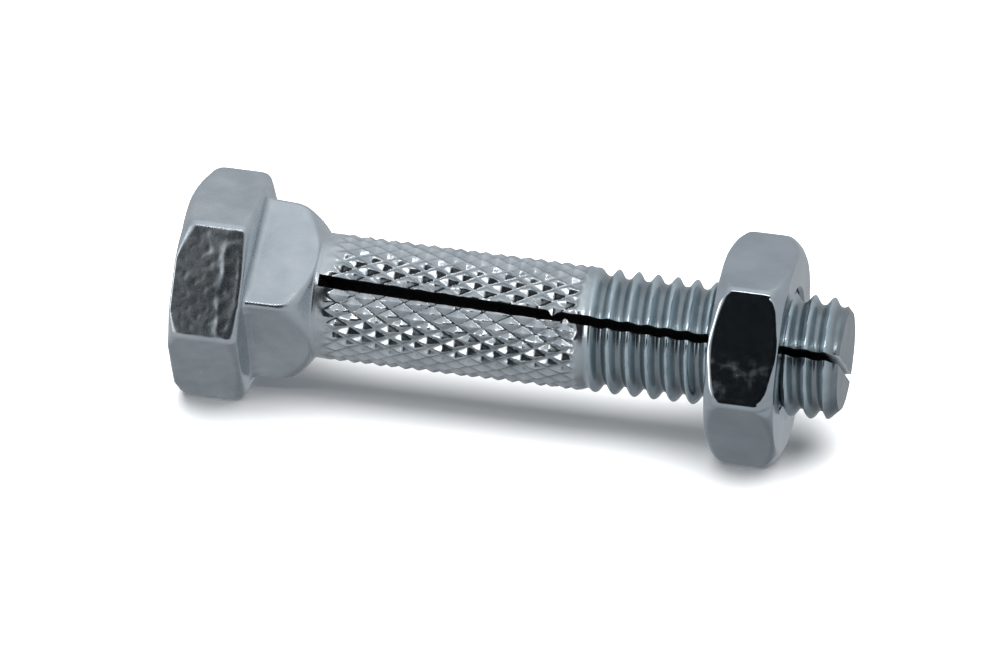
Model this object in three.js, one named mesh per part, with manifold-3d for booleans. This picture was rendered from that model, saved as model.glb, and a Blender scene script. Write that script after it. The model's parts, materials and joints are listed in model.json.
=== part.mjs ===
// A slotted wall anchor with a nut: a bolt with a hex head, a square neck, a knurled shank and a
// machine thread, split along its length into two spring legs, and a thin hex nut on the thread.
// Millimetres. X runs along the axis from the head to the tip, Z is up, and the origin is the
// centre of the head's outer face. The anchor lies with one flat of each hexagon on the ground.
import * as THREE from "three";
import { mergeVertices } from "three/addons/utils/BufferGeometryUtils.js";
import Module from "manifold-3d";

const wasm = await Module();
wasm.setup();

// ---- driving dimensions ----
const HEAD = {
  acrossFlats: 12.7,
  height: 4.5,
  cornerRadius: 0.45, // on the six upright corners
  chamferInset: 0.15, // from the flats in to the rim of the round outer face
  chamferOffset: 0.45, // how far off centre the forging's chamfer lies
  chamferOffsetTurn: -30, // and in which direction, in degrees from the front (-Y) up
  edgeBreak: 0.2, // on the bearing side
};
const NECK = {
  side: 8.1,
  flatLength: 2.9, // square stretch, before its corners are turned down
  turnedLength: 1.4, // cone that takes the square's corners down to the shank
  cornerRadius: 0.5,
  turn: 64, // degrees from the front (-Y) up to the normal of the upper front face
};
const SHANK = {
  knurlDiameter: 8.04, // over the knurl's points
  plainDiameter: 7.8, // smooth band on each side of the knurl
  plainLength: 0.4, // smooth band between the neck and the knurl
  knurlLength: 16.1,
  grooveLength: 1.1, // smooth band between the knurl and the thread
};
const THREAD = {
  majorDiameter: 8,
  pitch: 1.25,
  depth: 0.44, // share of the pitch
  length: 15.6,
  rootFlat: 0.25, // share of the pitch
  crestFlat: 0.125, // share of the pitch
  tipChamfer: 0.8, // length of the 45 degree chamfer at the tip
};
const SLOT = {
  width: 0.78, // at its root
  turn: 40, // degrees from the front (-Y) up to the slot's front mouth
  slant: 1.4, // degrees that the saw cut runs downhill towards the tip
  crossing: 19.5, // distance from the head at which its middle plane crosses the axis
  pinch: 0.24, // degrees that each leg is bent in towards the other
};
const NUT = {
  acrossFlats: 12.8,
  thickness: 4.5, // whole nut, with its bearing face
  cornerRadius: 0.2,
  chamferInset: 0.4, // from the flats in to the rim of each round end face
  bearingFaceDiameter: 10.6,
  bearingFaceThickness: 0.5,
  leadInOversize: 0.3, // from the thread's crests out to the rim of the countersink
  leadInDepth: 0.6,
  alongThread: 7.65, // from the start of the thread to the nut's bearing side
};
const FIT = {
  thread: 0.1, // radial clearance between the thread and the nut
  bearingFace: 0.05, // gap behind the bearing face, and how far it stands out of the nut
  bearingRim: 0.1, // gap round the bearing face
};
const FACETS = 36; // sides of every round shape

// ---- places along the axis that follow from the sizes ----
const neckStart = HEAD.height;
const slotRoot = neckStart + NECK.flatLength + NECK.turnedLength;
const knurlStart = slotRoot + SHANK.plainLength;
const knurlEnd = knurlStart + SHANK.knurlLength;
const threadStart = knurlEnd + SHANK.grooveLength;
const tip = threadStart + THREAD.length;
const nutStart = threadStart + NUT.alongThread;
const plainRadius = SHANK.plainDiameter / 2;
const crestRadius = THREAD.majorDiameter / 2;
const rootRadius = crestRadius - THREAD.depth * THREAD.pitch;
const rad = THREE.MathUtils.degToRad;

// ---- helpers ----
function solid(geometry) {
  const bare = geometry.index ? geometry.toNonIndexed() : geometry.clone();
  bare.deleteAttribute("normal");
  bare.deleteAttribute("uv");
  const merged = mergeVertices(bare, 1e-4);
  return new wasm.Manifold(
    new wasm.Mesh({
      numProp: 3,
      vertProperties: merged.attributes.position.array,
      triVerts: new Uint32Array(merged.index.array),
    }),
  );
}

function geometryOf(manifold) {
  const mesh = manifold.getMesh();
  const geometry = new THREE.BufferGeometry();
  geometry.setAttribute("position", new THREE.BufferAttribute(mesh.vertProperties, 3));
  geometry.setIndex(new THREE.BufferAttribute(mesh.triVerts, 1));
  return geometry;
}

// A solid of revolution about X, from [distance along X, radius] points that start and end on the axis.
function turned(points) {
  const profile = points.map(([x, r]) => new THREE.Vector2(r, x));
  return new THREE.LatheGeometry(profile, FACETS).rotateZ(-Math.PI / 2);
}

// A regular prism along X with rounded corners. turn is the direction of one face's normal, in
// degrees from the front (-Y) upwards.
function prism(sides, acrossFlats, cornerRadius, length, turn) {
  const inset = acrossFlats / 2 - cornerRadius;
  const half = Math.PI / sides;
  const corner = inset / Math.cos(half);
  const shape = new THREE.Shape();
  for (let i = 0; i < sides; i += 1) {
    const angle = (i + 0.5) * 2 * half;
    const x = corner * Math.cos(angle);
    const y = corner * Math.sin(angle);
    shape.absarc(x, y, cornerRadius, angle - half, angle + half, false);
  }
  const settings = { depth: length, bevelEnabled: false, curveSegments: 3 };
  // The first turn lays the prism along +X with one face down, the second brings that face to turn.
  return new THREE.ExtrudeGeometry(shape, settings)
    .rotateY(Math.PI / 2)
    .rotateX(-Math.PI / 2 - rad(turn));
}

// A direction square to the axis, given in degrees from the front (-Y) upwards.
function radial(turn) {
  return new THREE.Vector3(0, -Math.cos(rad(turn)), Math.sin(rad(turn)));
}

// A right-hand screw about X whose flanks run from one whole turn before start to one after end.
// Column j of the grid is a step round the axis, row i a step along the profile. The last column
// meets the first one a pitch further on, so that the surface is one helix.
function screw(start, end, extraRadius) {
  const { pitch, rootFlat, crestFlat } = THREAD;
  const flank = (1 - rootFlat - crestFlat) / 2;
  const root = rootRadius + extraRadius;
  const crest = crestRadius + extraRadius;
  const profile = [
    [0, root],
    [rootFlat, root],
    [rootFlat + flank, crest],
    [rootFlat + flank + crestFlat, crest],
  ];
  const rows = profile.length;
  const turns = Math.ceil((end - start) / pitch) + 2;
  const last = turns * rows;
  // Every screw is in step with every other: a crest crosses the front (-Y) at each whole number
  // of pitches from the head's outer face.
  const crestToFront = rootFlat + flank + crestFlat / 2 + 0.5;
  const origin = (Math.floor(start / pitch - 1 + crestToFront) - crestToFront) * pitch;
  const points = [];
  for (let i = 0; i <= last; i += 1) {
    const [share, radius] = profile[i % rows];
    for (let j = 0; j < FACETS; j += 1) {
      const angle = (j / FACETS) * 2 * Math.PI;
      const along = origin + (Math.floor(i / rows) + share + j / FACETS) * pitch;
      points.push(along, radius * Math.cos(angle), radius * Math.sin(angle));
    }
  }
  const at = (i, j) => i * FACETS + j;
  const faces = [];
  for (let i = 0; i < last; i += 1) {
    for (let j = 0; j < FACETS - 1; j += 1) {
      faces.push(at(i, j), at(i, j + 1), at(i + 1, j + 1));
      faces.push(at(i, j), at(i + 1, j + 1), at(i + 1, j));
    }
    if (i + rows < last) {
      const wrapped = at(i + rows, 0);
      const wrappedNext = at(i + rows + 1, 0);
      faces.push(at(i, FACETS - 1), wrapped, wrappedNext);
      faces.push(at(i, FACETS - 1), wrappedNext, at(i + 1, FACETS - 1));
    }
  }
  // Each end is closed by a fan from a point on the axis.
  const lowEdge = [];
  for (let j = 0; j < FACETS; j += 1) lowEdge.push(at(0, j));
  for (let i = rows; i > 0; i -= 1) lowEdge.push(at(i, 0));
  const highEdge = [];
  for (let j = 0; j < FACETS; j += 1) highEdge.push(at(last, j));
  for (let i = last - 1; i >= last - rows; i -= 1) highEdge.push(at(i, FACETS - 1));
  const lowCentre = points.length / 3;
  points.push(origin + pitch / 2, 0, 0);
  const highCentre = points.length / 3;
  points.push(origin + (turns + 0.5) * pitch, 0, 0);
  lowEdge.forEach((a, k) => faces.push(a, lowCentre, lowEdge[(k + 1) % lowEdge.length]));
  highEdge.forEach((a, k) => faces.push(a, highEdge[(k + 1) % highEdge.length], highCentre));
  const geometry = new THREE.BufferGeometry();
  geometry.setAttribute("position", new THREE.Float32BufferAttribute(points, 3));
  geometry.setIndex(faces);
  return geometry;
}

// ---- bright zinc plating, a little different on each piece ----
function zinc(name, colour, roughness) {
  return new THREE.MeshStandardMaterial({ name, color: colour, roughness, metalness: 1 });
}

function piece(name, geometry, material) {
  const mesh = new THREE.Mesh(geometry, material);
  mesh.name = name;
  return mesh;
}

// ---- head and neck: the forged end of the bolt ----
function headAndNeck() {
  const { acrossFlats, height, cornerRadius, chamferInset, chamferOffset, edgeBreak } = HEAD;
  const corner = acrossFlats / 2 / Math.cos(Math.PI / 6);
  const rim = acrossFlats / 2 - chamferInset;
  const reach = corner + chamferOffset;
  const chamferDepth = (reach - rim) * Math.tan(Math.PI / 6);
  const offset = radial(HEAD.chamferOffsetTurn).multiplyScalar(chamferOffset);
  const block = solid(prism(6, acrossFlats, cornerRadius, height, 30));
  const chamfer = solid(
    turned([[0, 0], [0, rim], [chamferDepth, reach], [height, reach], [height, 0]]).translate(
      offset.x, offset.y, offset.z,
    ),
  );
  const broken = solid(
    turned([[0, 0], [0, corner], [height - edgeBreak, corner], [height, corner - edgeBreak], [height, 0]]),
  );
  const head = block.intersect(chamfer).intersect(broken);

  const overlap = height / 2; // the neck's solid starts inside the head
  const neckLength = NECK.flatLength + NECK.turnedLength;
  const squareCorner = NECK.side * Math.SQRT1_2;
  const square = solid(
    prism(4, NECK.side, NECK.cornerRadius, overlap + neckLength, NECK.turn).translate(
      neckStart - overlap, 0, 0,
    ),
  );
  const cone = solid(
    turned([
      [neckStart - overlap, 0],
      [neckStart - overlap, squareCorner],
      [neckStart + NECK.flatLength, squareCorner],
      [slotRoot, plainRadius],
      [slotRoot, 0],
    ]),
  );
  const neck = square.intersect(cone);
  return piece("head_and_neck", geometryOf(head.add(neck)), zinc("head zinc", 0x9aa5ad, 0.34));
}

// ---- the two spring legs: the knurled and threaded shank, split by the slot ----
function shank() {
  const knurlRadius = SHANK.knurlDiameter / 2;
  const { pitch, tipChamfer } = THREAD;
  const bevel = knurlRadius - plainRadius;
  const core = solid(
    turned([
      [slotRoot, 0],
      [slotRoot, plainRadius],
      [knurlStart, plainRadius],
      [knurlStart + bevel, knurlRadius],
      [knurlEnd - bevel, knurlRadius],
      [knurlEnd, plainRadius],
      [threadStart, plainRadius],
      [threadStart + (plainRadius - rootRadius), rootRadius],
      [tip - tipChamfer, rootRadius],
      [tip, crestRadius - tipChamfer],
      [tip, 0],
    ]),
  );
  const ridge = solid(screw(threadStart, tip, 0));
  const envelope = solid(
    turned([
      [threadStart - pitch / 2, 0],
      [threadStart - pitch / 2, rootRadius],
      [threadStart + pitch / 2, crestRadius],
      [tip - tipChamfer, crestRadius],
      [tip, crestRadius - tipChamfer],
      [tip, 0],
    ]),
  );
  return core.add(ridge.intersect(envelope));
}

// side is 1 for the leg above the slot and -1 for the one below it.
function leg(name, side, whole, colour) {
  const across = HEAD.acrossFlats * 2; // wider than the shank, whatever its size
  const length = (tip - slotRoot) * 4; // past both ends of the leg
  const halfSlot = (side * SLOT.width) / 2;
  const mouth = radial(SLOT.turn);
  const normal = radial(SLOT.turn + 90);
  const halfSpace = new THREE.BoxGeometry(length, across, across)
    .translate(0, 0, halfSlot + (side * across) / 2)
    .rotateY(rad(SLOT.slant))
    .translate(SLOT.crossing, 0, 0)
    .rotateX(rad(-SLOT.turn));
  const straight = geometryOf(whole.intersect(solid(halfSpace)));

  // The leg bends about the innermost line of its root face.
  const rise = (SLOT.crossing - slotRoot) * Math.tan(rad(SLOT.slant));
  const hinge = normal.clone().multiplyScalar(halfSlot / Math.cos(rad(SLOT.slant)) + rise);
  hinge.x = slotRoot;
  const bend = new THREE.Group();
  bend.position.copy(hinge);
  bend.quaternion.setFromAxisAngle(mouth, -side * rad(SLOT.pinch));
  straight.translate(-hinge.x, -hinge.y, -hinge.z);
  bend.add(piece(name, straight, zinc(name + " zinc", colour, 0.3)));
  return bend;
}

// ---- nut: the threaded hexagon, and its bearing face, a ring let into the side towards the head ----
function nutPieces() {
  const { acrossFlats, thickness, cornerRadius, chamferInset, leadInDepth } = NUT;
  const corner = acrossFlats / 2 / Math.cos(Math.PI / 6);
  const rim = acrossFlats / 2 - chamferInset;
  const chamferDepth = (corner - rim) * Math.tan(Math.PI / 6);
  const mouth = crestRadius + NUT.leadInOversize;
  const faceEnd = nutStart + NUT.bearingFaceThickness;
  const faceRadius = NUT.bearingFaceDiameter / 2;
  const start = nutStart + FIT.bearingFace;
  const end = nutStart + thickness;
  const past = 1; // how far a cutter runs past a face
  const block = solid(prism(6, acrossFlats, cornerRadius, end - start, 30).translate(start, 0, 0));
  const turnedDown = solid(
    turned([
      [start, 0],
      [start, rim],
      [start + chamferDepth, corner],
      [end - chamferDepth, corner],
      [end, rim],
      [end, 0],
    ]),
  );
  const boreRadius = rootRadius + FIT.thread;
  const leadIn = solid(
    turned([
      [end - leadInDepth, 0],
      [end - leadInDepth, boreRadius],
      [end, mouth],
      [end + past, mouth],
      [end + past, 0],
    ]),
  );
  const recessRadius = faceRadius + FIT.bearingRim;
  const recessEnd = faceEnd + FIT.bearingFace;
  const recess = solid(
    turned([[start - past, 0], [start - past, recessRadius], [recessEnd, recessRadius], [recessEnd, 0]]),
  );
  const thread = solid(screw(start - past, end + past, FIT.thread));
  const nut = block.intersect(turnedDown).subtract(recess).subtract(leadIn).subtract(thread);

  const bore = crestRadius + FIT.thread;
  const bearing = turned([
    [nutStart, mouth],
    [nutStart, faceRadius],
    [faceEnd, faceRadius],
    [faceEnd, bore],
    [nutStart, mouth],
  ]);
  return [
    piece("hex_nut", geometryOf(nut), zinc("nut zinc", 0x8d979f, 0.28)),
    piece("nut_bearing_face", geometryOf(solid(bearing)), zinc("bearing face zinc", 0x939ca3, 0.32)),
  ];
}

const anchor = new THREE.Group();
const whole = shank();
anchor.add(headAndNeck());
anchor.add(leg("upper_leg", 1, whole, 0xa7b2b9));
anchor.add(leg("lower_leg", -1, whole, 0x929da5));
nutPieces().forEach((mesh) => anchor.add(mesh));

export default anchor;
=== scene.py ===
# %% [markdown]
# # A slotted wall anchor
# The real object is a bolt and a nut. The bolt is forged with a hex head and a square neck, its
# shank is rolled with a diamond knurl and a machine thread, and a saw splits it along its length
# into two spring legs. Both pieces are plated with bright zinc. Every shape here is a surface
# worked out point by point on a grid, because knurls, threads and forged edges all follow a
# formula, and a grid keeps each of them exact without a boolean cut.

# %% Load the frame
import json
import math

import bpy
import numpy as np
from mathutils import Matrix, Vector


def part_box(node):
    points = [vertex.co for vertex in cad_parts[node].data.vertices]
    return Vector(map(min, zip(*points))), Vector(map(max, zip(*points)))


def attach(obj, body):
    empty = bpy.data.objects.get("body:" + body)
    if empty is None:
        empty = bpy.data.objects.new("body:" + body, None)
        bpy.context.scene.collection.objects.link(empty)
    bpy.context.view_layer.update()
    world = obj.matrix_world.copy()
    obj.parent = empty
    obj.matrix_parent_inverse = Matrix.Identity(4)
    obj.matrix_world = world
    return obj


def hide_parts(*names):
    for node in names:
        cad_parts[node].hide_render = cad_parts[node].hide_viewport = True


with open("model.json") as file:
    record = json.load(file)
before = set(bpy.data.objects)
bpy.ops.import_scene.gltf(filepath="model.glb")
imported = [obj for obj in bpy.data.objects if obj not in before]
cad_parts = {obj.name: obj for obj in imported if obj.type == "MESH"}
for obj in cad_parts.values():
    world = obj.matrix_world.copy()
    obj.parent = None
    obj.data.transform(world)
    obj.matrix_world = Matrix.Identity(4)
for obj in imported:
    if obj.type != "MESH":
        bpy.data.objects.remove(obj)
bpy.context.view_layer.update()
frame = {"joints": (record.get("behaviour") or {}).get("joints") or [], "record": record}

# %% [markdown]
# The frame holds every place along the axis: X runs from the head to the tip, Z is up, and
# the origin is the centre of the head's outer face. Lengths are in metres. An angle round the
# axis is measured from the front, which is -Y, upwards to +Z.

# %% Places and sizes from the frame
MM = 0.001
mounts = {m["name"]: m for m in frame["record"]["mounts"]}
joints = {j["name"]: j for j in frame["joints"]}
NECK_START = mounts["head_bearing_face"]["pos_m"][0]
HEAD_FLATS = 2 * abs(mounts["head_spanner_flat"]["pos_m"][2])
SLOT_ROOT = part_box("head_and_neck")[1].x
NUT_START = mounts["nut_bearing_side"]["pos_m"][0]
NUT_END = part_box("hex_nut")[1].x
NUT_FLATS = 2 * abs(mounts["nut_spanner_flat"]["pos_m"][2])
TIP = 0.042
FLOOR = -NUT_FLATS / 2
for place, x in [("neck", NECK_START), ("slot", SLOT_ROOT), ("nut", NUT_START), ("tip", TIP)]:
    print(place, "starts at" if place != "tip" else "ends at", round(x / MM, 2), "mm")

# %% [markdown]
# A few helpers carry the whole model. `ring_points` turns angles and radii into points round the
# axis. `skin` joins rings of points into one closed surface, the way a boat's planks cover its
# frames. A flat end is closed with one face.

# %% Grid surfaces
def ring_points(x, angle, radius):
    """Points round the axis; the three arguments may be arrays of one shape."""
    x = np.broadcast_to(x, np.shape(radius))
    return np.stack([x, -radius * np.cos(angle), radius * np.sin(angle)], -1)


def skin(name, rings, wrap_rings=False, smooth_angle=38):
    """One object from rings[i, j]: ring i runs round the piece, and the rings follow each other."""
    count, around = rings.shape[:2]
    index = np.arange(count * around).reshape(count, around)
    first = index if wrap_rings else index[:-1]
    second = np.roll(index, -1, 0) if wrap_rings else index[1:]
    quads = np.stack(
        [first, second, np.roll(second, -1, 1), np.roll(first, -1, 1)], -1
    ).reshape(-1, 4)
    faces = quads.tolist()
    if not wrap_rings:
        faces.append(index[0].tolist())
        faces.append(index[-1][::-1].tolist())
    mesh = bpy.data.meshes.new(name)
    mesh.from_pydata(rings.reshape(-1, 3).tolist(), [], faces)
    mesh.validate()
    mesh.shade_smooth()
    mesh.set_sharp_from_angle(angle=math.radians(smooth_angle))
    piece = bpy.data.objects.new(name, mesh)
    bpy.context.scene.collection.objects.link(piece)
    print(name, len(mesh.polygons), "faces")
    return piece


# %% [markdown]
# Forged edges are never sharp. `softened` takes the corners of an outline and rounds each one by
# its own radius with a short curve, always with the same number of points, so that outlines of
# slightly different shape can be stitched together.

# %% Softened outlines
def softened(corners, radii, arc_steps=7, line_steps=6, fine_line=None, fine_steps=40):
    """Points along an open outline whose inner corners are rounded by radii.

    Each straight line gets line_steps points, and the one numbered fine_line gets fine_steps."""
    corners = [np.array(c, float) for c in corners]
    steps = [fine_steps if k == fine_line else line_steps for k in range(len(radii) + 1)]
    points = [corners[0]]
    for before, corner, after, radius, count in zip(corners, corners[1:], corners[2:], radii, steps):
        back, on = before - corner, after - corner
        reach = min(radius, 0.48 * np.linalg.norm(back), 0.48 * np.linalg.norm(on))
        start = corner + back / max(np.linalg.norm(back), 1e-12) * reach
        end = corner + on / max(np.linalg.norm(on), 1e-12) * reach
        for k in range(1, count):
            points.append(points[-1] + (start - points[-1]) / (count - k + 1))
        for k in range(arc_steps + 1):
            t = k / arc_steps
            points.append((1 - t) ** 2 * start + 2 * t * (1 - t) * corner + t * t * end)
    for k in range(1, steps[-1] + 1):
        points.append(points[-1] + (corners[-1] - points[-1]) / (steps[-1] - k + 1))
    return np.array(points)


corner = softened([(0, 0), (0, 1), (1, 1)], [0.5])
print("one softened corner has", len(corner), "points")

# %% [markdown]
# The head, the neck and the nut are prisms. Seen along the axis, each is a distance from the
# axis that depends on the direction, with an arc in place of each corner. The angles are closer
# together near the corners, where the surface bends the most.

# %% Prisms
def flat_sided(angle, sides, across_flats, corner_radius, first_normal):
    """Distance from the axis out to a prism with rounded corners, in each direction."""
    step = 2 * math.pi / sides
    off = (angle - math.radians(first_normal) + step / 2) % step - step / 2
    inset = (across_flats / 2 - corner_radius) / math.cos(step / 2)
    off_corner = step / 2 - np.abs(off)
    side = across_flats / 2 / np.cos(off)
    reach = np.clip(corner_radius**2 - (inset * np.sin(off_corner)) ** 2, 0, None)
    rounded = inset * np.cos(off_corner) + np.sqrt(reach)
    # The corner's arc starts where the flat ends, half the flat's length from its middle.
    half_flat = inset * np.sin(step / 2)
    on_flat = across_flats / 2 * np.tan(np.abs(off)) < half_flat
    return np.where(on_flat, side, rounded)


def spaced(centres, spread, count, fine):
    """Angles round the axis: even ones, and finer ones within spread of each centre."""
    even = np.linspace(0, 360, count, endpoint=False)
    near = [c + np.linspace(-spread, spread, fine) for c in centres]
    angles = np.unique(np.round(np.concatenate([even, *near]) % 360, 3))
    return np.radians(angles[np.append(np.diff(angles) > 0.05, True)])


sharp_reach = HEAD_FLATS / 2 / math.cos(math.pi / 6)
print("a sharp hexagon's corner would reach", round(sharp_reach / MM, 2), "mm from the axis")

# %% [markdown]
# Forged and rolled steel is never quite flat. `ripple` is a smooth random field made of a few
# sine waves with seeded directions: it moves points by a few hundredths of a millimetre, which
# is what makes reflections in plated steel swim.

# %% Uneven surfaces
def ramp(value, start, end):
    """0 before start, 1 after end, and smooth between them."""
    t = np.clip((value - start) / (end - start), 0, 1)
    return t * t * (3 - 2 * t)


def ripple(points, size, seed):
    """A smooth field between about -1 and 1 with features of the given size."""
    draw = np.random.default_rng(seed)
    total = np.zeros(points.shape[:-1])
    for _ in range(7):
        direction = draw.normal(size=3)
        direction /= np.linalg.norm(direction)
        wave = 2 * math.pi / (size * draw.uniform(0.7, 1.6))
        total += np.sin(points @ direction * wave + draw.uniform(0, 2 * math.pi))
    return total / 3.5


line = np.stack([np.linspace(0, TIP, 200), np.zeros(200), np.zeros(200)], -1)
sample = ripple(line, 3.5 * MM, 3)
print("ripple runs from", round(sample.min(), 2), "to", round(sample.max(), 2))

# %% [markdown]
# The head and the neck are one forging. Going along the axis from the centre of the outer face,
# its outline in any direction climbs the round face, the 30 degree chamfer and the flat, turns in
# down the bearing face, and then follows the neck until the cone takes it down to the shank.

# %% Head outline
HEAD_CORNER = 0.5 * MM
HEAD_RIM = HEAD_FLATS / 2 - 0.15 * MM
CHAMFER = math.tan(math.radians(30))
CHAMFER_OFFSET = 0.45 * MM
CHAMFER_OFFSET_TURN = math.radians(-30)
NECK_SIDE = 8.1 * MM
NECK_CORNER = 0.35 * MM
NECK_TURN = 64
NECK_FLAT = 2.7 * MM
NECK_FOOT = SLOT_ROOT - 0.25 * MM
SHANK_RADIUS = 3.95 * MM
FLAT_CROWN = 0.05 * MM
NECK_TAPER = 0.2 * MM


def crowned(angle, across_flats):
    """How far a flat falls away from its middle line: 0 there, and 1 at the corners."""
    off = angle % (math.pi / 3) - math.pi / 6
    across = across_flats / 2 * np.tan(off)
    return np.minimum((across / (across_flats / 4)) ** 2, 1.3)


def head_outline(angle, head, neck):
    """Outline in one direction, from the outer face's centre to the end of the neck."""
    corner_share = (head - HEAD_FLATS / 2) / (HEAD_FLATS / 2 * (1 / math.cos(math.pi / 6) - 1))
    neck_share = (neck - NECK_SIDE / 2) / (NECK_SIDE / 2 * (math.sqrt(2) - 1))
    # The chamfer is a cone whose axis lies a little off the head's centre.
    off = angle - CHAMFER_OFFSET_TURN
    rim = CHAMFER_OFFSET * math.cos(off)
    rim += math.sqrt(HEAD_RIM**2 - (CHAMFER_OFFSET * math.sin(off)) ** 2)
    from_cone = math.hypot(
        head - CHAMFER_OFFSET * math.cos(off), CHAMFER_OFFSET * math.sin(off)
    )
    rim = min(rim, head - 0.12 * MM)
    depth = max((from_cone - HEAD_RIM) * CHAMFER, 0.08 * MM)
    slope = (NECK_FOOT - NECK_START - NECK_FLAT) / (NECK_SIDE * math.sqrt(0.5) - SHANK_RADIUS)
    cone_start = NECK_FOOT - (neck - SHANK_RADIUS) * slope
    corners = [
        (0, 0.02 * MM),
        (0, rim),
        (depth, head),
        (NECK_START, head),
        (NECK_START, neck + NECK_TAPER * neck_share),
        (cone_start, neck),
        (NECK_FOOT, SHANK_RADIUS),
        (SLOT_ROOT, SHANK_RADIUS),
    ]
    radii = [
        0.6 * MM,
        0.6 * MM,
        (0.35 + 0.5 * corner_share) * MM,
        (0.45 + 0.45 * neck_share) * MM,
        1.3 * MM,
        0.8 * MM,
    ]
    return softened(corners, radii, arc_steps=8, line_steps=9, fine_line=2)


outline = head_outline(math.radians(30), HEAD_FLATS / 2, NECK_SIDE / 2)
print("the head's outline has", len(outline), "points and ends at", round(outline[-1][0] / MM, 2), "mm")

# %% [markdown]
# A forged head is rarely clean. One flat has a low uneven ridge along a trim line, a small step
# beside it, and shallow dents. The marks fade out before the flat's edges, so that the outline
# stays clean.

# %% Forging marks
TRIM_LINE = 3.25 * MM
TRIM_WIDTH = 0.3 * MM
RIDGE_HEIGHT = 0.036 * MM
RIDGE_UNEVENNESS = 0.03 * MM
STEP_HEIGHT = 0.02 * MM
DENT_DEPTH = 0.014 * MM


def forging_marks(x, angle):
    """Height of the trim line and depth of the dents on one flat."""
    across = HEAD_FLATS / 2 * np.tan(np.clip(angle - math.radians(30), -0.6, 0.6))
    on_flat = 1 - ramp(np.abs(across), 2.9 * MM, 3.5 * MM)
    on_flat = on_flat * ramp(x, 0.5 * MM, 0.9 * MM) * (1 - ramp(x, 3.9 * MM, 4.3 * MM))
    place = np.stack([x, across + 0 * x, 0 * x + 0 * across], -1)
    trim = TRIM_LINE + 0.1 * MM * ripple(place, 3.0 * MM, 11)
    ridge = np.exp(-(((x - trim) / TRIM_WIDTH) ** 2))
    ridge = ridge * (RIDGE_HEIGHT + RIDGE_UNEVENNESS * ripple(place, 1.1 * MM, 12))
    step = STEP_HEIGHT * ramp(x, trim - 0.1 * MM, trim + 0.1 * MM)
    dents = np.clip(ripple(place, 0.7 * MM, 13) - 0.1, 0, None) * DENT_DEPTH
    return on_flat * (ridge - step - dents)


along_flat = forging_marks(np.linspace(NECK_START, 0, 90), math.radians(30)) / MM
print("forging marks from", round(along_flat.min(), 3), "to", round(along_flat.max(), 3), "mm")

# %% [markdown]
# The outlines in all directions are joined into one closed surface. Each flat falls away a little
# towards its corners, and two ripples of different size make the whole forging slightly uneven.

# %% Head forging
SLOW_RIPPLE = 0.02 * MM
FINE_RIPPLE = 0.008 * MM


def head_and_neck():
    corners = [60 * k for k in range(6)]
    corners += [NECK_TURN + 45 + 90 * k for k in range(4)]
    angles = np.radians(np.linspace(0, 60, 110))
    angles = np.unique(np.round(np.concatenate([angles, spaced(corners, 5, 180, 25)]), 3))
    head = flat_sided(angles, 6, HEAD_FLATS, HEAD_CORNER, 30)
    neck = flat_sided(angles, 4, NECK_SIDE, NECK_CORNER, NECK_TURN)
    outlines = np.array([head_outline(*each) for each in zip(angles, head, neck)])
    x, radius = outlines[..., 0].T, outlines[..., 1].T
    rings = ring_points(x, angles[None, :], radius)
    push = SLOW_RIPPLE * ripple(rings, 3.5 * MM, 3) + FINE_RIPPLE * ripple(rings, 1.1 * MM, 4)
    fade = np.clip(radius / SHANK_RADIUS - 1, 0, 0.4) / 0.4
    worn = forging_marks(x, angles[None, :]) - FLAT_CROWN * crowned(angles, HEAD_FLATS)
    push = push * fade + np.where(radius > 0.9 * head, worn, 0)
    return skin("head_forging", ring_points(x, angles[None, :], radius + push))


head_forging = head_and_neck()
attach(head_forging, "bolt_head")
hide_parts("head_and_neck")

# %% [markdown]
# The shank's surface is a height over the plain cylinder at each place along it and round it.
# The knurl is pressed by two rollers whose ridges cross, so each place takes the lower of two
# sets of slanted ridges: that leaves raised diamonds, longer along the axis than round it, with
# a pit wherever two grooves cross.

# %% Knurl
KNURL_END = SLOT_ROOT + 16.8 * MM
KNURL_RADIUS = 4.02 * MM
KNURL_DEPTH = 0.32 * MM
KNURL_LENGTH = 1.7 * MM
KNURL_ROUND = 25
KNURL_WANDER = 0.05
KNURL_PRESSED = 0.92
KNURL_UNEVENNESS = 0.14
BRUISE_DEPTH = 0.007 * MM
RIDGE_SHARPNESS = 0.7
FIRST_DIAMOND = SLOT_ROOT + 0.49 * MM
DIAMOND_TURN = math.radians(-3.8)


def soft_ridge(phase):
    """A wave that climbs from 0 to 1 and falls back, with slightly rounded turns."""
    straight = 1 - np.abs(2 * (phase % 1) - 1)
    rounded = 0.5 - 0.5 * np.cos(2 * math.pi * phase)
    return RIDGE_SHARPNESS * straight + (1 - RIDGE_SHARPNESS) * rounded


def knurl_height(x, angle):
    """Depth below the diamonds' points: each one is a low pyramid between two pairs of grooves."""
    turn = (angle - DIAMOND_TURN) / (2 * math.pi) * KNURL_ROUND + 0.5
    along = (x - FIRST_DIAMOND) / KNURL_LENGTH
    place = np.stack(np.broadcast_arrays(x, SHANK_RADIUS * angle, 0), -1)
    wander = KNURL_WANDER * ripple(place, 2.2 * MM, 21)
    one = soft_ridge(turn + along + wander)
    other = soft_ridge(turn - along - wander)
    pressed = KNURL_PRESSED + KNURL_UNEVENNESS * ripple(place, 4 * MM, 22)
    ends = ramp(x, SLOT_ROOT + 0.1 * MM, SLOT_ROOT + 1.6 * MM)
    ends = ends * (1 - ramp(x, KNURL_END - 0.6 * MM, KNURL_END))
    bruises = BRUISE_DEPTH * ripple(place, 0.6 * MM, 23) * ends
    return (np.minimum(one, other) - 1) * KNURL_DEPTH * ends * pressed + bruises


print("the knurl has", KNURL_ROUND, "diamonds round it, each", round(KNURL_LENGTH / MM, 2), "mm long")

# %% [markdown]
# The thread is one wave wound round the axis, raised to a power that makes its crests narrow and
# its roots wide. It takes over from the knurl along a short run, and the chamfer cuts its end.

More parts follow.
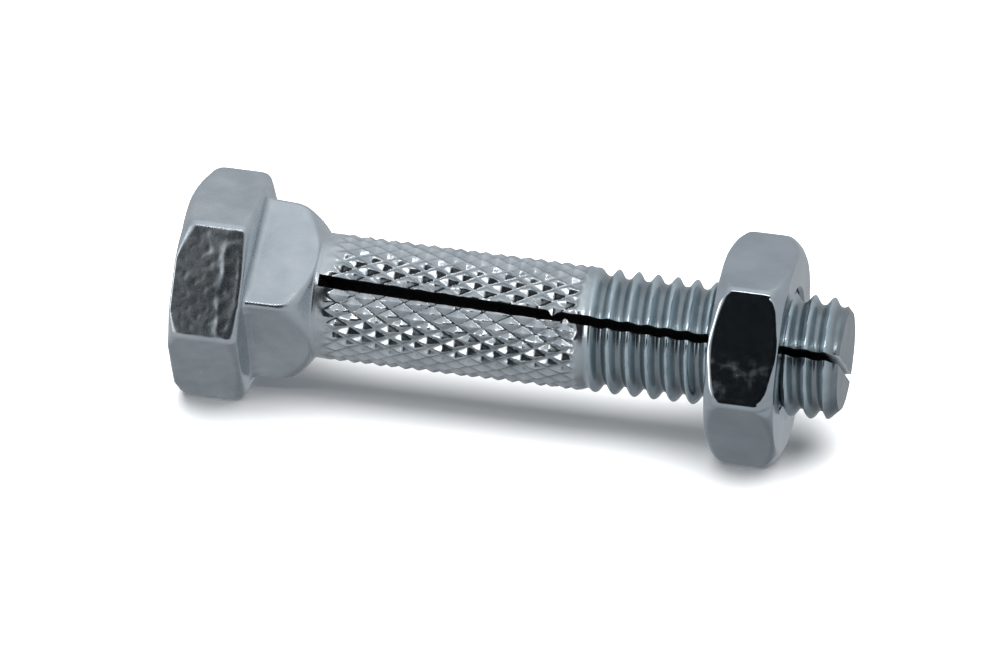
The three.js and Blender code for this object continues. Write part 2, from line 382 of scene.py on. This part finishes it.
# %% Thread and shank
THREAD_START = SLOT_ROOT + 17.3 * MM
CREST = 4.0 * MM
CREST_SHARPNESS = 1.45
THREAD_DEPTH = 0.55 * MM
PITCH = 1.25 * MM
TIP_CHAMFER = 0.75 * MM


def thread_height(x, angle):
    """Depth below the crests of a right-hand thread: a crest crosses the front at whole pitches."""
    ridge = np.cos(math.pi * (x / PITCH + angle / (2 * math.pi))) ** 2
    return (ridge**CREST_SHARPNESS - 1) * THREAD_DEPTH


def shank_radius(x, angle):
    """Radius of the whole shank, before it is split."""
    raised = ramp(x, SLOT_ROOT, SLOT_ROOT + 1.2 * MM)
    raised = raised * (1 - ramp(x, KNURL_END - 0.3 * MM, KNURL_END))
    shank = SHANK_RADIUS + (KNURL_RADIUS - SHANK_RADIUS) * raised + knurl_height(x, angle)
    thread = CREST + thread_height(x, angle)
    threaded = ramp(x, THREAD_START - 0.7 * MM, THREAD_START + 0.7 * MM)
    radius = shank * (1 - threaded) + thread * threaded
    chamfer = CREST - TIP_CHAMFER + (TIP - x)
    return np.minimum(radius, chamfer)


round_shank = np.radians(np.arange(0.0, 360.0, 2.0))
for part, x in [("knurl", (SLOT_ROOT + KNURL_END) / 2), ("thread", (THREAD_START + TIP) / 2)]:
    reach = shank_radius(x, round_shank) / MM
    print(part, "radius", round(reach.min(), 2), "to", round(reach.max(), 2), "mm")

# %% [markdown]
# Each leg is half of the shank, less half of the saw cut. Its rings run over the outside and back
# along the flat wall of the slot, which is slightly ragged and has a small burr on each edge.

# %% Half of the shank
SLOT = 0.78 * MM
SLOT_TURN = math.radians(40)
SLOT_SLANT = math.radians(1.4)
SLOT_CROSSING = 19.5 * MM
SAW_RIPPLE = 0.014 * MM
BURR_LENGTH = 0.22 * MM
BURR_WIDTH = 0.4 * MM
ARC_STEPS = 176
WALL_STEPS = 14
MOUTH = np.array([0, -math.cos(SLOT_TURN), math.sin(SLOT_TURN)])
SQUARE_TO_SLOT = np.array([0, math.sin(SLOT_TURN), math.cos(SLOT_TURN)])


def stations():
    """Places along the leg: close together on the knurl and closer still on the thread."""
    thread_start = THREAD_START - 0.9 * MM
    parts = [
        [SLOT_ROOT - 0.02 * MM],
        np.arange(SLOT_ROOT + 0.02 * MM, thread_start, KNURL_LENGTH / 20),
        np.arange(thread_start, TIP - 0.02 * MM, PITCH / 16),
        [TIP],
    ]
    return np.concatenate(parts)


def spring_leg(node, side, burr):
    x = stations()[:, None]
    share = np.linspace(0, 1, ARC_STEPS)[None, :]
    # The saw cut slants, so the wall's distance from the axis changes along the leg.
    wall = SLOT / 2 + side * (SLOT_CROSSING - x) * math.tan(SLOT_SLANT)
    wall = wall + SAW_RIPPLE * ripple(np.stack([x, 0 * x, side * x], -1), 0.9 * MM, 31)
    # The arc starts and ends where the outside meets the slot's wall.
    lift = np.broadcast_to(wall / CREST, (len(x), 2))
    for _ in range(4):
        ends = SLOT_TURN + side * (np.array([0, math.pi]) + lift * np.array([1, -1]))
        lift = np.arcsin(np.clip(wall / shank_radius(x, ends), -1, 1))
    start, stop = lift[:, :1], math.pi - lift[:, 1:]
    angle = start + (stop - start) * share
    radius = shank_radius(x, SLOT_TURN + side * angle)
    # across runs back from the slot's front mouth, and out is square to the slot's wall.
    across, out = -radius * np.cos(angle), radius * np.sin(angle)
    back = np.linspace(1, 0, WALL_STEPS + 2)[None, 1:-1]
    wall_across = across[:, :1] + (across[:, -1:] - across[:, :1]) * back
    place, height = burr
    lip = height * np.exp(-(((x - SLOT_ROOT - place) / BURR_LENGTH) ** 2))
    wall_out = wall - lip * np.exp(-(((wall_across + CREST) / BURR_WIDTH) ** 2))
    across = np.concatenate([across, wall_across], 1)
    out = np.concatenate([out, wall_out], 1)
    out[:, :1] -= lip
    rings = -across[..., None] * MOUTH + side * out[..., None] * SQUARE_TO_SLOT
    rings[..., 0] += x
    if side < 0:
        rings = rings[:, ::-1]
    return skin(node + "_steel", rings, smooth_angle=32)


print("a leg has", len(stations()), "rings of", ARC_STEPS + WALL_STEPS, "points")

# %% [markdown]
# Both legs come from the same recipe, on opposite sides of the slot. Each is then bent in a
# little about the line where it joins the neck, so that the slot narrows towards the tip.

# %% Spring legs
PINCH = math.radians(0.24)
LEGS = {
    "upper_leg": {"body": "leg_above_slot", "side": 1, "burr": (15.0 * MM, 0.36 * MM)},
    "lower_leg": {"body": "leg_below_slot", "side": -1, "burr": (15.8 * MM, 0.28 * MM)},
}


def bend_in(leg, joint, side):
    """Bends a leg towards the other one about the line where it joins the neck."""
    hinge = Vector(joint["pos_m"])
    bend = Matrix.Rotation(-side * PINCH, 4, Vector(MOUTH))
    leg.data.transform(Matrix.Translation(hinge) @ bend @ Matrix.Translation(-hinge))


for node, leg in LEGS.items():
    leg["piece"] = spring_leg(node, leg["side"], leg["burr"])
    bend_in(leg["piece"], joints[node + "_squeeze"], leg["side"])
    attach(leg["piece"], leg["body"])
    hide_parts(node)
print("each leg is bent in by", round(math.degrees(PINCH), 2), "degrees")

# %% [markdown]
# The nut is a ring, so its outline in any direction is a closed loop: out over the flat with its
# two chamfers, in across the end face and the countersink, and back through the thread. The same
# wave that cuts the bolt's thread cuts the nut's, a little further from the axis.

# %% Nut outline
NUT_CORNER = 0.45 * MM
NUT_RIM = NUT_FLATS / 2 - 0.06 * MM
NUT_CHAMFER = math.tan(math.radians(17))
NUT_TURN = 30
LEAD_IN = 4.3 * MM
LEAD_IN_DEPTH = 0.6 * MM
THREAD_GAP = 0.1 * MM
RING_RADIUS = 5.3 * MM
RING_THICKNESS = 0.5 * MM
RING_GAP = 0.05 * MM
RECESS_RADIUS = RING_RADIUS + 0.1 * MM
RECESS_END = NUT_START + RING_THICKNESS + RING_GAP


def nut_loop(angle, reach):
    """Closed outline in one direction: round the recess, the outside, and back down the thread."""
    start = NUT_START + RING_GAP
    depth = (reach - NUT_RIM) * NUT_CHAMFER + 0.2 * MM
    bore = CREST - THREAD_DEPTH + THREAD_GAP
    outside = softened(
        [
            (RECESS_END, CREST + 0.2 * MM),
            (RECESS_END, RECESS_RADIUS),
            (start, RECESS_RADIUS),
            (start, NUT_RIM),
            (start + depth, reach),
            (NUT_END - depth, reach),
            (NUT_END, NUT_RIM),
            (NUT_END, LEAD_IN),
        ],
        [0.03 * MM, 0.05 * MM, 0.2 * MM, 0.42 * MM, 0.42 * MM, 0.3 * MM],
        line_steps=7,
        fine_line=4,
        fine_steps=24,
    )
    x = np.linspace(NUT_END - 0.01 * MM, RECESS_END + 0.01 * MM, 64)
    thread = CREST + THREAD_GAP + thread_height(x, angle)
    countersink = LEAD_IN - (NUT_END - x) * (LEAD_IN - bore) / LEAD_IN_DEPTH
    return np.concatenate([outside, np.stack([x, np.maximum(thread, countersink)], -1)])


print("the nut's outline has", len(nut_loop(0, NUT_FLATS / 2)), "points")

# %% [markdown]
# Nuts are tumbled in a barrel before plating, which wears down the four corners of each flat.
# The wear is a distance past a rounded rectangle drawn on the flat, and it sets in softly.

# %% Worn corners
FLAT_ROUNDING = 1.05 * MM
WORN_FROM_SIDE = 2.3 * MM
WORN_FROM_END = 0.85 * MM
WORN_START = 1.035 * MM
WORN_DEPTH = 0.9
SOFT_ONSET = 0.06 * MM
SOFT_TURN = 0.15 * MM


def levelled(distance):
    """A distance that stops growing at FLAT_ROUNDING, with a soft turn instead of a corner."""
    distance = np.clip(distance, 0, None)
    turn = np.sqrt((distance - FLAT_ROUNDING) ** 2 + SOFT_TURN**2)
    return (distance + FLAT_ROUNDING - turn) / 2


def tumbled(x, angle):
    """How far tumbling in the barrel has worn down the four corners of each flat."""
    off = (angle - math.radians(NUT_TURN) + math.pi / 6) % (math.pi / 3) - math.pi / 6
    past_side = levelled(NUT_FLATS / 2 * np.tan(np.abs(off)) - WORN_FROM_SIDE)
    past_end = levelled(np.abs(x - (NUT_START + NUT_END) / 2) - WORN_FROM_END)
    past = np.clip(np.hypot(past_side, past_end) - WORN_START, 0, None)
    return past**2 / (past + SOFT_ONSET) * WORN_DEPTH


print("a corner is worn down by", round(tumbled(NUT_END, 0.0) / MM, 3), "mm")

# %% [markdown]
# The nut's body is skinned from its outlines, round the axis and back to the first.

# %% Nut body
def nut_body():
    angles = spaced([60 * k for k in range(6)], 4, 240, 21)
    reach = flat_sided(angles, 6, NUT_FLATS, NUT_CORNER, NUT_TURN)
    loops = np.array([nut_loop(*each) for each in zip(angles, reach)])
    x, radius = loops[..., 0].T, loops[..., 1].T
    # The wear grows from nothing at the rim of the end face to its full depth on the flat.
    share = np.clip((radius - NUT_RIM) / (reach - NUT_RIM), 0, 1)
    rings = ring_points(x, angles[None, :], radius - share * tumbled(x, angles[None, :]))
    return skin("nut_body", rings, wrap_rings=True)


nut = nut_body()
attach(nut, "nut")
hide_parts("hex_nut")

# %% [markdown]
# On the real nut the bearing face is part of the body. Here it is a flat ring let into the
# recess, because in the frame it slides along the thread without turning.

# %% Bearing face
def bearing_ring():
    angles = np.radians(np.linspace(0, 360, 180, endpoint=False))
    end = NUT_START + RING_THICKNESS
    bore = CREST + THREAD_GAP
    corners = [(NUT_START, LEAD_IN), (NUT_START, RING_RADIUS), (end, RING_RADIUS), (end, bore)]
    loop = softened(corners, [0.12 * MM, 0.05 * MM])
    inner = np.linspace(loop[-1], loop[0], 6)[1:-1]
    loop = np.concatenate([loop, inner])
    radius = np.broadcast_to(loop[:, 1:], (len(loop), len(angles)))
    return skin("nut_bearing_ring", ring_points(loop[:, :1], angles[None, :], radius), wrap_rings=True)


ring = bearing_ring()
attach(ring, "nut_slider")
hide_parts("nut_bearing_face")

# %% [markdown]
# A material is a small graph of nodes: some make a pattern, some turn it into numbers or colours,
# and the last one is the shader. The same few steps come back in every finish here, so each gets
# a helper that adds its node to a graph and hands back the new node's output.

# %% Node helpers
def feed(tree, socket, value):
    """Links another node's output to a socket, or sets the socket to a plain value."""
    if isinstance(value, bpy.types.NodeSocket):
        tree.links.new(value, socket)
    else:
        socket.default_value = value


def noise(tree, place, scale, detail=2):
    """Soft random patches; a larger scale makes them smaller."""
    node = tree.nodes.new("ShaderNodeTexNoise")
    node.inputs["Scale"].default_value = scale
    node.inputs["Detail"].default_value = detail
    tree.links.new(place, node.inputs["Vector"])
    return node.outputs["Fac"]


def parts_of(tree, vector):
    """The X, Y and Z of a vector."""
    node = tree.nodes.new("ShaderNodeSeparateXYZ")
    tree.links.new(vector, node.inputs["Vector"])
    return node.outputs


def mapped(tree, value, start, end, to_start=0, to_end=1, kind="LINEAR"):
    """Turns start to end into to_start to to_end, and holds the value beyond both."""
    node = tree.nodes.new("ShaderNodeMapRange")
    node.interpolation_type = kind
    sockets = ("Value", "From Min", "From Max", "To Min", "To Max")
    for socket, number in zip(sockets, (value, start, end, to_start, to_end)):
        feed(tree, node.inputs[socket], number)
    return node.outputs["Result"]


def maths(tree, operation, *values):
    node = tree.nodes.new("ShaderNodeMath")
    node.operation = operation
    for socket, value in zip(node.inputs, values):
        feed(tree, socket, value)
    return node.outputs["Value"]


def mixed(tree, share, one, other, blend="MIX"):
    """Blends from one colour to the other as share goes from 0 to 1."""
    node = tree.nodes.new("ShaderNodeMix")
    node.data_type = "RGBA"
    node.blend_type = blend
    for socket, value in (("Factor", share), ("A", one), ("B", other)):
        feed(tree, node.inputs[socket], value)
    return node.outputs["Result"]


def tinted(tree, value, dark, light, start=0.0, end=1.0):
    """A colour that goes from dark to light while value goes from start to end."""
    node = tree.nodes.new("ShaderNodeValToRGB")
    for stop, position, tint in zip(node.color_ramp.elements, (start, end), (dark, light)):
        stop.position = position
        stop.color = (*tint, 1)
    tree.links.new(value, node.inputs["Fac"])
    return node.outputs["Color"]


print("node helpers ready:", ", ".join(f.__name__ for f in (noise, mapped, maths, mixed, tinted)))

# %% [markdown]
# Two more helpers start and end every finish. The first makes the material and names the point
# that its patterns hang on. The second turns a pattern into the fine relief of the surface.

# %% Finish helpers
def new_finish(name, metallic):
    """A new material, its graph, its shader and the place of each point on the object."""
    material = bpy.data.materials.new(name)
    material.use_nodes = True
    tree = material.node_tree
    shader = tree.nodes["Principled BSDF"]
    shader.inputs["Metallic"].default_value = metallic
    print(name, "is", metallic, "metallic")
    return material, tree, shader, tree.nodes.new("ShaderNodeTexCoord").outputs["Object"]


def add_grain(tree, shader, height, depth):
    """Bends the shader's normals over a height pattern of the given depth in metres."""
    node = tree.nodes.new("ShaderNodeBump")
    node.inputs["Strength"].default_value = 1.0
    node.inputs["Distance"].default_value = depth
    tree.links.new(height, node.inputs["Height"])
    tree.links.new(node.outputs["Normal"], shader.inputs["Normal"])


print("a finish starts with", new_finish.__name__, "and ends with", add_grain.__name__)

# %% [markdown]
# The roots of the rolled thread are painted darker than its crests, as painted shade where they lie
# deep between them, and the thread as a whole takes a slightly bluer tint than the knurl. A thumb or a
# drop of water leaves a faint stain on a bright flat, which shows only as patches of rougher metal.

# %% Painted root shade and stained plating
ROOT_SHADE = 0.5
THREAD_TINT = (0.90, 0.97, 1.0, 1)
THREAD_ROUGHER = 0.02
STAIN_SCALE = 1500
STAIN_ROUGHER = 0.14


def root_shaded(tree, place, colour, rough, roots, crests):
    """Paints shade on the plating towards the thread's roots, and turns the whole thread bluer."""
    along, across, up = parts_of(tree, place)
    squares = [maths(tree, "MULTIPLY", side, side) for side in (across, up)]
    radius = maths(tree, "SQRT", maths(tree, "ADD", *squares))
    # Painted shade: the colour is scaled down towards the thread's roots.
    tone = tree.nodes.new("ShaderNodeVectorMath")
    tone.operation = "SCALE"
    tree.links.new(colour, tone.inputs[0])
    tree.links.new(mapped(tree, radius, roots, crests, ROOT_SHADE, 1), tone.inputs["Scale"])
    threaded = mapped(tree, along, THREAD_START - 0.8 * MM, THREAD_START + 0.4 * MM)
    colour = mixed(tree, threaded, tone.outputs["Vector"], THREAD_TINT, "MULTIPLY")
    rough = maths(tree, "ADD", rough, maths(tree, "MULTIPLY", threaded, THREAD_ROUGHER))
    return colour, rough


def stained(tree, place, rough, low, high):
    """Makes the plating rougher in patches between two heights."""
    middle, half = (low + high) / 2, (high - low) / 2
    height = parts_of(tree, place)["Z"]
    away = maths(tree, "ABSOLUTE", maths(tree, "SUBTRACT", height, middle))
    inside = mapped(tree, away, half * 0.6, half, 1, 0)
    patches = mapped(tree, noise(tree, place, STAIN_SCALE, 6), 0.5, 0.7, 0, STAIN_ROUGHER)
    return maths(tree, "ADD", rough, maths(tree, "MULTIPLY", patches, inside))


print("roots keep", ROOT_SHADE, "of the light, a stain adds up to", STAIN_ROUGHER, "roughness")

# %% [markdown]
# Bright zinc over steel is a mirror with a bluish cast that a fine grain keeps from being sharp.
# One function makes it for every piece: a metallic shader whose colour drifts with a slow
# noise, whose roughness changes with a finer one, and whose bump holds the grain of the plating.

# %% Zinc plating
CLOUD_SCALE = 2200
GRAIN_SCALE = 3000
ROOTS_AND_CRESTS = (CREST - THREAD_DEPTH, CREST - 0.05 * MM)
FRONT_FLAT_LOW = (0.2 * MM, 2.9 * MM)


def zinc(name, light, dark, roughness, grain, patches, root_shade_radii=None, stain=None):
    """Bright zinc: light and dark are its two tints, grain the bump's depth in metres.

    The two distances for the thread's roots and crests: below the first the colour is at its darkest,
    painted shade in the roots, and above the second it is full. stain holds two heights between which
    it is stained."""
    material, tree, shader, place = new_finish(name, 1.0)
    colour = tinted(tree, noise(tree, place, patches, 5), dark, light, 0.35, 0.65)
    rough = mapped(tree, noise(tree, place, CLOUD_SCALE, 4), 0, 1, *roughness)
    if root_shade_radii:
        colour, rough = root_shaded(tree, place, colour, rough, *root_shade_radii)
    if stain:
        rough = stained(tree, place, rough, *stain)
    tree.links.new(colour, shader.inputs["Base Color"])
    tree.links.new(rough, shader.inputs["Roughness"])
    add_grain(tree, shader, noise(tree, place, GRAIN_SCALE, 6), grain)
    return material


head_zinc = zinc(
    "head zinc",
    light=(0.70, 0.74, 0.77),
    dark=(0.58, 0.63, 0.67),
    roughness=(0.2, 0.34),
    grain=0.008 * MM,
    patches=500,
)
shank_zinc = zinc(
    "shank zinc",
    light=(0.76, 0.80, 0.82),
    dark=(0.60, 0.65, 0.68),
    roughness=(0.17, 0.29),
    grain=0.005 * MM,
    patches=700,
    root_shade_radii=ROOTS_AND_CRESTS,
)
nut_zinc = zinc(
    "nut zinc",
    light=(0.59, 0.64, 0.68),
    dark=(0.51, 0.56, 0.60),
    roughness=(0.1, 0.17),
    grain=0.003 * MM,
    patches=400,
    stain=FRONT_FLAT_LOW,
)
for piece, finish in [
    (head_forging, head_zinc),
    (LEGS["upper_leg"]["piece"], shank_zinc),
    (LEGS["lower_leg"]["piece"], shank_zinc),
    (nut, nut_zinc),
    (ring, nut_zinc),
]:
    piece.data.materials.append(finish)
    print(piece.name, "is plated with", finish.name)

# %% [markdown]
# The saw leaves the walls of the slot rough. They get a finish of their own: dull near-black steel,
# painted shade for the narrow slot that light hardly reaches, with the fine parallel marks of the
# blade.

# %% Saw cut, in painted shade
BLADE_MARKS = (9000, 900, 900)
LIT_SLOT_END = (0.42, 0.45, 0.48, 1)
SLOT_WALL_FACING = 0.97
SLOT_WALL_REACH = 1.2 * MM


def shaded_saw_cut():
    material, tree, shader, place = new_finish("saw cut", 0.2)
    shader.inputs["Specular IOR Level"].default_value = 0.1
    stretch = tree.nodes.new("ShaderNodeMapping")
    stretch.inputs["Scale"].default_value = BLADE_MARKS
    tree.links.new(place, stretch.inputs["Vector"])
    marks = noise(tree, stretch.outputs["Vector"], 1)
    # Painted shade: the slot's walls are near black because little light reaches into the slot.
    steel = tinted(tree, marks, (0.004, 0.004, 0.005), (0.02, 0.021, 0.023))
    # The colour lightens towards the open end of the slot: painted light, where light reaches in.
    plated = mapped(tree, parts_of(tree, place)["X"], TIP - 0.9 * MM, TIP - 0.2 * MM)
    tree.links.new(mixed(tree, plated, steel, LIT_SLOT_END), shader.inputs["Base Color"])
    tree.links.new(mapped(tree, marks, 0, 1, 0.7, 1.0), shader.inputs["Roughness"])
    add_grain(tree, shader, marks, 0.01 * MM)
    return material


def paint_slot_walls(leg, finish):
    """Gives the saw cut's finish, dark with painted shade, to the faces that lie on the slot's wall."""
    mesh = leg["piece"].data
    mesh.materials.append(finish)
    facing = np.empty(len(mesh.polygons) * 3)
    mesh.polygons.foreach_get("normal", facing)
    centre = np.empty(len(mesh.polygons) * 3)
    mesh.polygons.foreach_get("center", centre)
    facing, centre = facing.reshape(-1, 3), centre.reshape(-1, 3)
    inward = -leg["side"] * facing @ SQUARE_TO_SLOT > SLOT_WALL_FACING
    deep = np.abs(centre @ SQUARE_TO_SLOT) < SLOT_WALL_REACH
    index = (inward & deep).astype(int)
    mesh.polygons.foreach_set("material_index", index)
    print(leg["piece"].name, int(index.sum()), "faces on the slot's wall")


slot_shade = shaded_saw_cut()
for leg in LEGS.values():
    paint_slot_walls(leg, slot_shade)
head_forging.data.materials.append(slot_shade)
# The slot's root on the head gets the same painted shade.
head_forging.data.polygons[-1].material_index = 1  # the face that the saw stopped at

# %% [markdown]
# The anchor lies on a plain pale table. The metal does not reflect it: the lower half of the room
# stands for the table in every reflection, because there its tones can be set by direction.

# %% Floor
FLOOR_HALF = 3.0


def pale_floor():
    mesh = bpy.data.meshes.new("floor")
    far, near = FLOOR_HALF, -FLOOR_HALF
    corners = [(near, near, FLOOR), (far, near, FLOOR), (far, far, FLOOR), (near, far, FLOOR)]
    mesh.from_pydata(corners, [], [(0, 1, 2, 3)])
    floor = bpy.data.objects.new("floor", mesh)
    bpy.context.scene.collection.objects.link(floor)
    paint = bpy.data.materials.new("pale floor")
    paint.use_nodes = True
    shader = paint.node_tree.nodes["Principled BSDF"]
    shader.inputs["Base Color"].default_value = (0.9, 0.9, 0.9, 1)
    shader.inputs["Roughness"].default_value = 0.9
    mesh.materials.append(paint)
    floor.visible_glossy = False


pale_floor()
print("the floor lies", round(-FLOOR / MM, 2), "mm below the axis")

# %% [markdown]
# Plated metal shows its surroundings and nothing else, so the room is most of the picture. It is
# soft grey and brighter overhead, with one dark zone in front and above, which turns the faces
# towards it dark, and a fainter one behind and below, where the anchor's own shadow lies.

# %% Room
SKY = [(-1, 0.34), (-0.5, 0.46), (0, 0.48), (0.5, 0.50), (1, 0.74)]  # height and brightness
DARK_ZONE = (0.20, -0.85, 0.487)
DARK_ZONE_EDGE = (35, 26)
SHADOW_ZONE = (0.30, 0.30, -0.905)
SHADOW_ZONE_EDGE = (45, 8)
SHADOW_STRENGTH = 0.4


def zone(tree, direction, centre, edge, most=1):
    """A share that climbs to most round one direction, between two angles away from it."""
    dot = tree.nodes.new("ShaderNodeVectorMath")
    dot.operation = "DOT_PRODUCT"
    dot.inputs[1].default_value = centre
    tree.links.new(direction, dot.inputs[0])
    outer, inner = (math.cos(math.radians(angle)) for angle in edge)
    return mapped(tree, dot.outputs["Value"], outer, inner, 0, most, "SMOOTHSTEP")


def room():
    world = bpy.data.worlds.new("room")
    bpy.context.scene.world = world
    world.use_nodes = True
    tree = world.node_tree
    direction = tree.nodes.new("ShaderNodeTexCoord").outputs["Generated"]
    sky = tree.nodes.new("ShaderNodeValToRGB")
    tree.links.new(mapped(tree, parts_of(tree, direction)["Z"], -1, 1), sky.inputs["Fac"])
    for height, _ in SKY[1:-1]:
        sky.color_ramp.elements.new((height + 1) / 2)
    for stop, (_, tone) in zip(sky.color_ramp.elements, SKY):
        stop.color = (tone * 0.95, tone, tone * 1.05, 1)
    dark = zone(tree, direction, DARK_ZONE, DARK_ZONE_EDGE)
    colour = mixed(tree, dark, sky.outputs["Color"], (0.006, 0.008, 0.010, 1))
    shaded = zone(tree, direction, SHADOW_ZONE, SHADOW_ZONE_EDGE, SHADOW_STRENGTH)
    colour = mixed(tree, shaded, colour, (0.05, 0.055, 0.06, 1))
    background = tree.nodes["Background"]
    tree.links.new(colour, background.inputs["Color"])
    background.inputs["Strength"].default_value = 1.0
    print("the room has", len(sky.color_ramp.elements), "tones from floor to ceiling")


room()

# %% [markdown]
# Three soft lights stand round the table. The wide one overhead lights the floor and casts the
# shadow under the anchor, and is hidden from reflections. The narrow strip in front puts the
# sparkle in the knurl and the thread, and the small one at the side catches the forged edges.

# %% Lights
def soft_light(name, place, aim, size, power):
    light = bpy.data.lights.new(name, "AREA")
    light.shape = "RECTANGLE"
    light.size, light.size_y = size
    light.energy = power
    lamp = bpy.data.objects.new(name, light)
    lamp.location = place
    lamp.rotation_euler = (Vector(aim) - Vector(place)).to_track_quat("-Z", "Y").to_euler()
    bpy.context.scene.collection.objects.link(lamp)
    print(name, size[0], "by", size[1], "m", power, "W")
    return lamp


centre = Vector((TIP / 2, 0, 0))
overhead = centre + Vector((0.0, 0.1, 0.9))
in_front = centre + Vector((0.1, -0.45, 0.75))
at_side = centre + Vector((-0.75, -0.56, 0.31))
floor_light = soft_light("floor light", overhead, centre, (1.4, 1.1), 24)
floor_light.visible_glossy = False
soft_light("strip", in_front, centre, (0.6, 0.06), 0.7)
soft_light("side", at_side, centre, (0.42, 0.42), 1.2)

# %% [markdown]
# The camera looks along the anchor from the front and above, through a long lens, so that the
# head and the nut keep nearly the same scale. It leans a little, which tilts the anchor.

# %% Camera
VIEW_TURN = math.radians(10.46)
VIEW_RISE = math.radians(30.42)
VIEW_ROLL = math.radians(1.854)
VIEW_DISTANCE = 1.22
VIEW_LENS = 700
VIEW_AIM = Vector((0.01993, 0, -0.00057))

level = math.cos(VIEW_RISE)
back = Vector((math.sin(VIEW_TURN) * level, -math.cos(VIEW_TURN) * level, math.sin(VIEW_RISE)))
right = Vector((math.cos(VIEW_TURN), math.sin(VIEW_TURN), 0))
up = back.cross(right)
rolled_right = right * math.cos(VIEW_ROLL) + up * math.sin(VIEW_ROLL)
rolled_up = up * math.cos(VIEW_ROLL) - right * math.sin(VIEW_ROLL)
facing = Matrix((rolled_right, rolled_up, back)).transposed().to_4x4()
camera_data = bpy.data.cameras.new("camera")
camera_data.sensor_width = 36
camera_data.lens = VIEW_LENS
camera_data.clip_end = 20
camera = bpy.data.objects.new("camera", camera_data)
camera.matrix_world = Matrix.Translation(VIEW_AIM + back * VIEW_DISTANCE) @ facing
bpy.context.scene.collection.objects.link(camera)
bpy.context.scene.camera = camera
bpy.context.scene.view_settings.view_transform = "Standard"
print("the camera stands", VIEW_DISTANCE, "m away behind a", VIEW_LENS, "mm lens")
